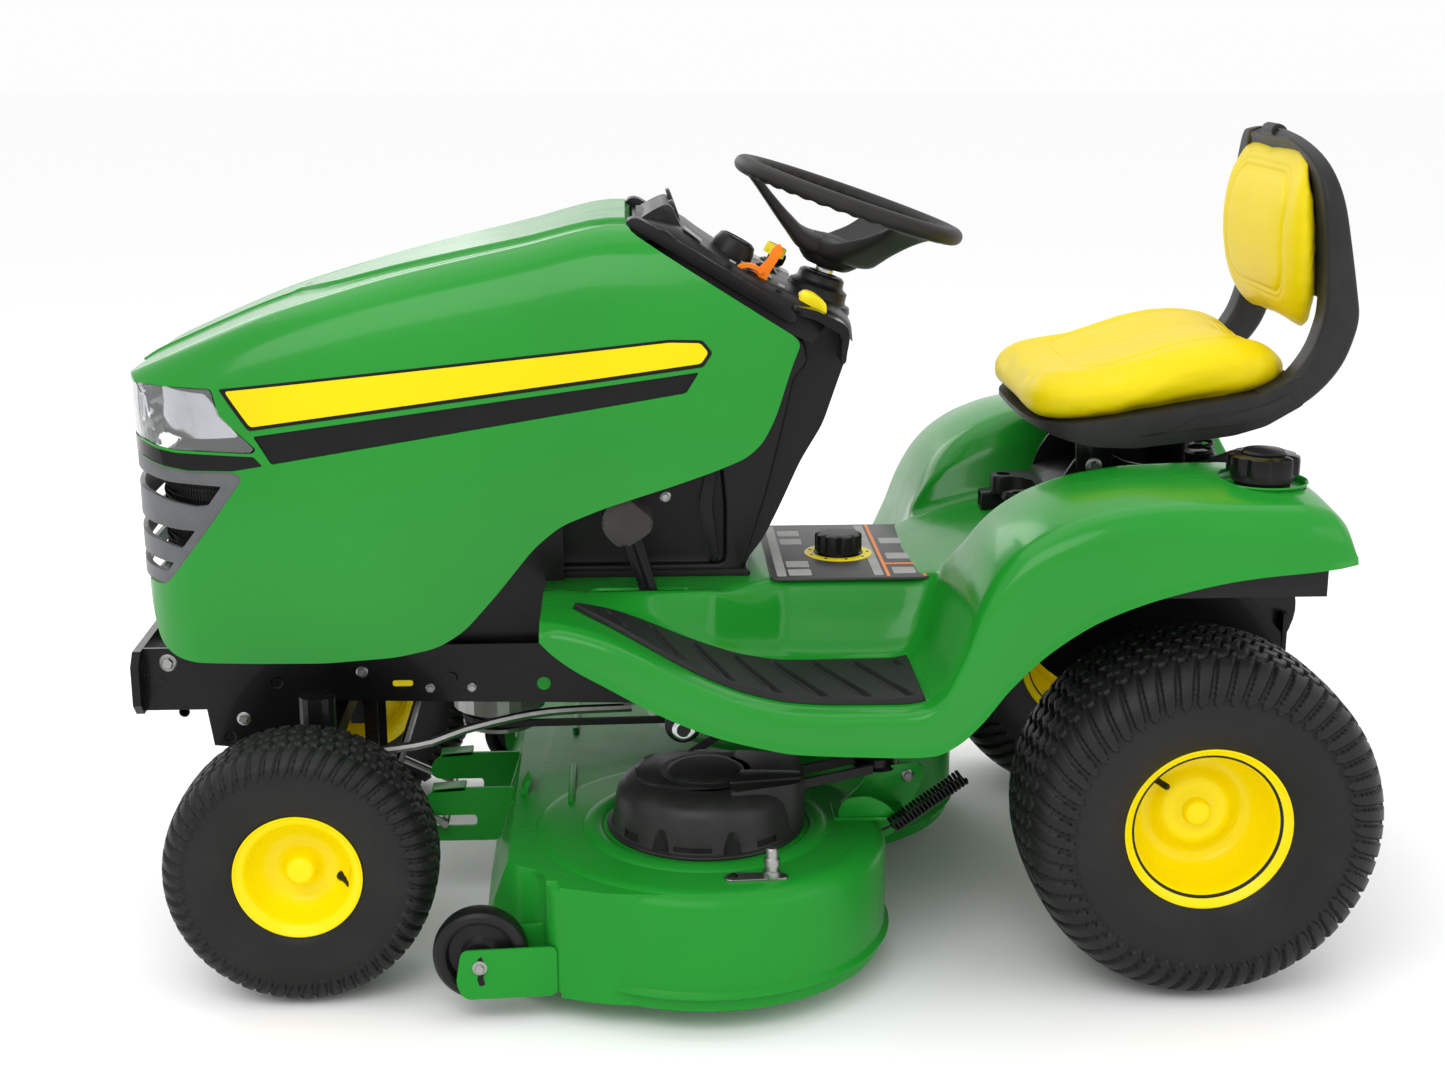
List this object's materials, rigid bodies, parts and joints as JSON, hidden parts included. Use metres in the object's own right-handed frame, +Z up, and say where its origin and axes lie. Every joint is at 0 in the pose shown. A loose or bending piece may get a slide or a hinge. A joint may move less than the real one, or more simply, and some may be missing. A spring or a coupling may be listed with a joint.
{
  "type": "riding lawn mower",
  "caption": "Ride-on lawn tractor with steered front axle, tilting hood and seat, and a height-adjustable mower deck with side discharge chute.",
  "frame": {"origin": "on the ground, at the centre of the overall footprint", "axes": "+X forward, +Y to the driver's left, +Z up"},
  "size_m": [1.766, 1.26, 1.186],
  "materials": {
    "green_panel": "glossy moulded body panel",
    "green_deck": "gloss painted pressed steel",
    "yellow_rim": "gloss painted pressed steel",
    "yellow_vinyl": "soft vinyl upholstery",
    "yellow_knob": "glossy moulding",
    "black_frame": "satin painted steel",
    "black_plastic": "textured moulding",
    "grey_grille": "satin moulding",
    "tyre_rubber": "moulded tyre rubber",
    "mat_rubber": "ribbed rubber",
    "bare_steel": "zinc plated steel",
    "engine_alloy": "cast, lightly oxidised",
    "cast_steel": "rough casting",
    "lamp_lens": "clear lens",
    "orange_grip": "satin moulding",
    "tank_plastic": "blow moulded"
  },
  "bodies": {
    "chassis": {"left_frame_rail": "black_frame", "right_frame_rail": "black_frame", "engine_plate": "black_frame", "front_bumper": "black_frame", "hitch_plate": "black_frame", "engine_block": "engine_alloy", "blower_housing": "black_plastic", "transaxle": "engine_alloy", "fuel_tank": "tank_plastic", "fender_deck": "green_panel", "left_foot_mat": "mat_rubber", "right_foot_mat": "mat_rubber", "dash_tower": "black_plastic", "dash_console": "black_plastic", "seat_rail": "black_frame"},
    "hood": {"hood_shell": "green_panel", "grille": "grey_grille", "headlights": "lamp_lens"},
    "steering": {"steering_wheel": "black_plastic", "steering_shaft": "bare_steel"},
    "sector": {"steering_sector": "cast_steel"},
    "link": {"drag_link": "black_frame"},
    "axle": {"front_axle": "black_frame"},
    "left_knuckle": {"left_spindle": "black_frame"},
    "right_knuckle": {"right_spindle": "black_frame"},
    "track_rod": {"tie_rod": "black_frame"},
    "front_left_wheel": {"front_left_tyre": "tyre_rubber", "front_left_rim": "yellow_rim"},
    "front_right_wheel": {"front_right_tyre": "tyre_rubber", "front_right_rim": "yellow_rim"},
    "rear_left_wheel": {"rear_left_tyre": "tyre_rubber", "rear_left_rim": "yellow_rim"},
    "rear_right_wheel": {"rear_right_tyre": "tyre_rubber", "rear_right_rim": "yellow_rim"},
    "slide": {"seat_slide": "black_frame"},
    "seat": {"seat_pan": "black_plastic", "seat_cushion": "yellow_vinyl", "back_cushion": "yellow_vinyl"},
    "slide_catch": {"seat_lever": "bare_steel"},
    "cap": {"fuel_cap": "black_plastic"},
    "throttle": {"throttle_lever": "orange_grip"},
    "clutch_switch": {"pto_knob": "yellow_knob"},
    "key": {"ignition_key": "black_plastic"},
    "park_lock": {"park_lock_tab": "yellow_knob"},
    "dial": {"depth_dial": "black_plastic"},
    "mower_deck": {"deck_shell": "green_deck", "left_spindle_cover": "black_plastic", "right_spindle_cover": "black_plastic", "deck_belt": "mat_rubber"},
    "left_cutter": {"left_blade": "cast_steel"},
    "right_cutter": {"right_blade": "cast_steel"},
    "clutch": {"pto_clutch": "bare_steel"},
    "left_gauge": {"left_gauge_wheel": "black_plastic"},
    "right_gauge": {"right_gauge_wheel": "black_plastic"},
    "chute": {"discharge_chute": "black_plastic"},
    "front_link": {"draft_rod": "bare_steel"},
    "lift": {"lift_shaft": "black_frame", "lift_pedal": "black_frame"},
    "forward": {"forward_pedal": "black_frame"},
    "reverse": {"reverse_pedal": "black_frame"}
  },
  "joints": [
    {"name": "axle_swing", "type": "hinge", "parent": "chassis", "child": "axle", "pos_m": [0.613, 0.068, 0.32], "axis": [1, 0, 0], "range_deg": [-5, 5]},
    {"name": "left_steer", "type": "hinge", "parent": "axle", "child": "left_knuckle", "pos_m": [0.613, 0.33, 0.32], "axis": [0, 0, 1], "range_deg": [-40, 40]},
    {"name": "right_steer", "type": "hinge", "parent": "axle", "child": "right_knuckle", "pos_m": [0.613, -0.194, 0.32], "axis": [0, 0, 1], "range_deg": [-40.5, 40.5]},
    {"name": "track_rod_turn", "type": "hinge", "parent": "left_knuckle", "child": "track_rod", "pos_m": [0.518, 0.33, 0.236], "axis": [0, 0, 1], "range_deg": [-40.5, 40.5]},
    {"name": "steering_turn", "type": "hinge", "parent": "chassis", "child": "steering", "pos_m": [-0.1655, 0.068, 1.0685], "axis": [-0.3231, 0, 0.9464], "range_deg": [-301, 301]},
    {"name": "sector_turn", "type": "hinge", "parent": "chassis", "child": "sector", "pos_m": [0.165, 0.093, 0.38], "axis": [0, 0, 1], "range_deg": [-32, 32]},
    {"name": "link_slide", "type": "slide", "parent": "chassis", "child": "link", "axis": [1, 0, 0], "range_m": [-0.0525, 0.0525]},
    {"name": "front_left_spin", "type": "hinge", "parent": "left_knuckle", "child": "front_left_wheel", "pos_m": [0.626, 0.441, 0.189], "axis": [0, 1, 0], "continuous": true},
    {"name": "front_right_spin", "type": "hinge", "parent": "right_knuckle", "child": "front_right_wheel", "pos_m": [0.626, -0.305, 0.189], "axis": [0, 1, 0], "continuous": true},
    {"name": "rear_left_spin", "type": "hinge", "parent": "chassis", "child": "rear_left_wheel", "pos_m": [-0.626, 0.448, 0.252], "axis": [0, 1, 0], "continuous": true},
    {"name": "rear_right_spin", "type": "hinge", "parent": "chassis", "child": "rear_right_wheel", "pos_m": [-0.626, -0.312, 0.252], "axis": [0, 1, 0], "continuous": true},
    {"name": "hood_hinge", "type": "hinge", "parent": "chassis", "child": "hood", "pos_m": [0.835, 0.068, 0.45], "axis": [0, 1, 0], "range_deg": [0, 60]},
    {"name": "seat_travel", "type": "slide", "parent": "chassis", "child": "slide", "axis": [0.9953, 0, -0.0967], "range_m": [-0.04, 0.05]},
    {"name": "seat_tilt", "type": "hinge", "parent": "slide", "child": "seat", "pos_m": [-0.525, 0.068, 0.685], "axis": [0, 1, 0], "range_deg": [0, 35]},
    {"name": "slide_catch_turn", "type": "hinge", "parent": "slide", "child": "slide_catch", "pos_m": [-0.478, 0.172, 0.628], "axis": [0, 0, 1], "range_deg": [0, 15], "stiffness_Nm_per_rad": 0.4, "springref_deg": -5.73},
    {"name": "cap_turn", "type": "hinge", "parent": "chassis", "child": "cap", "pos_m": [-0.712, 0.393, 0.73], "axis": [0, 0, 1], "range_deg": [0, 270]},
    {"name": "throttle_turn", "type": "hinge", "parent": "chassis", "child": "throttle", "pos_m": [-0.024, 0.188, 0.962], "axis": [0, 1, 0], "range_deg": [-8, 48]},
    {"name": "clutch_pull", "type": "slide", "parent": "chassis", "child": "clutch_switch", "axis": [-0.4431, 0, 0.8965], "range_m": [0, 0.008]},
    {"name": "key_turn", "type": "hinge", "parent": "chassis", "child": "key", "pos_m": [-0.06, -0.052, 0.9515], "axis": [-0.4431, 0, 0.8965], "range_deg": [-90, 0]},
    {"name": "park_lock_lift", "type": "slide", "parent": "chassis", "child": "park_lock", "axis": [0, 0, 1], "range_m": [0, 0.008]},
    {"name": "dial_turn", "type": "hinge", "parent": "chassis", "child": "dial", "pos_m": [-0.155, 0.093, 0.531], "axis": [0, 0, 1], "range_deg": [-150, 150]},
    {"name": "deck_lift", "type": "slide", "parent": "chassis", "child": "mower_deck", "axis": [0, 0, 1], "range_m": [-0.015, 0.035], "deforming": ["deck_belt"]},
    {"name": "left_cutter_spin", "type": "hinge", "parent": "mower_deck", "child": "left_cutter", "pos_m": [0.06, 0.363, 0.15], "axis": [0, 0, 1], "continuous": true},
    {"name": "right_cutter_spin", "type": "hinge", "parent": "mower_deck", "child": "right_cutter", "pos_m": [-0.11, -0.162, 0.15], "axis": [0, 0, 1], "continuous": true},
    {"name": "clutch_spin", "type": "hinge", "parent": "chassis", "child": "clutch", "pos_m": [0.371, 0.068, 0.3], "axis": [0, 0, 1], "continuous": true},
    {"name": "left_gauge_spin", "type": "hinge", "parent": "mower_deck", "child": "left_gauge", "pos_m": [0.375, 0.544, 0.095], "axis": [0, 1, 0], "continuous": true},
    {"name": "right_gauge_spin", "type": "hinge", "parent": "mower_deck", "child": "right_gauge", "pos_m": [0.362, -0.335, 0.095], "axis": [0, 1, 0], "continuous": true},
    {"name": "chute_hinge", "type": "hinge", "parent": "mower_deck", "child": "chute", "pos_m": [0.121, -0.424, 0.188], "axis": [-1, 0, 0], "range_deg": [0, 80], "stiffness_Nm_per_rad": 1, "springref_deg": -17.19},
    {"name": "front_link_turn", "type": "hinge", "parent": "chassis", "child": "front_link", "pos_m": [0.56, 0.068, 0.19], "axis": [0, 1, 0], "range_deg": [-10, 20]},
    {"name": "lift_turn", "type": "hinge", "parent": "chassis", "child": "lift", "pos_m": [0.092, 0.068, 0.36], "axis": [0, 1, 0], "range_deg": [-8, 16]},
    {"name": "forward_press", "type": "hinge", "parent": "chassis", "child": "forward", "pos_m": [0.13, -0.142, 0.4], "axis": [0, 1, 0], "range_deg": [0, 14], "stiffness_Nm_per_rad": 5, "springref_deg": -8.59},
    {"name": "reverse_press", "type": "hinge", "parent": "chassis", "child": "reverse", "pos_m": [0.02, -0.142, 0.4], "axis": [0, 1, 0], "range_deg": [0, 14], "stiffness_Nm_per_rad": 5, "springref_deg": -8.59}
  ],
  "couplings": [
    {"joint": "right_steer", "follows": "left_steer", "ratio": 1},
    {"joint": "track_rod_turn", "follows": "left_steer", "ratio": -1},
    {"joint": "steering_turn", "follows": "left_steer", "ratio": 7.5},
    {"joint": "sector_turn", "follows": "left_steer", "ratio": -0.775},
    {"joint": "link_slide", "follows": "left_steer", "m_per_rad": 0.0745},
    {"joint": "right_cutter_spin", "follows": "left_cutter_spin", "ratio": 1},
    {"joint": "clutch_spin", "follows": "left_cutter_spin", "ratio": 1.2},
    {"joint": "front_link_turn", "follows": "deck_lift", "rad_per_m": 8.7},
    {"joint": "lift_turn", "follows": "deck_lift", "rad_per_m": 6.75}
  ]
}
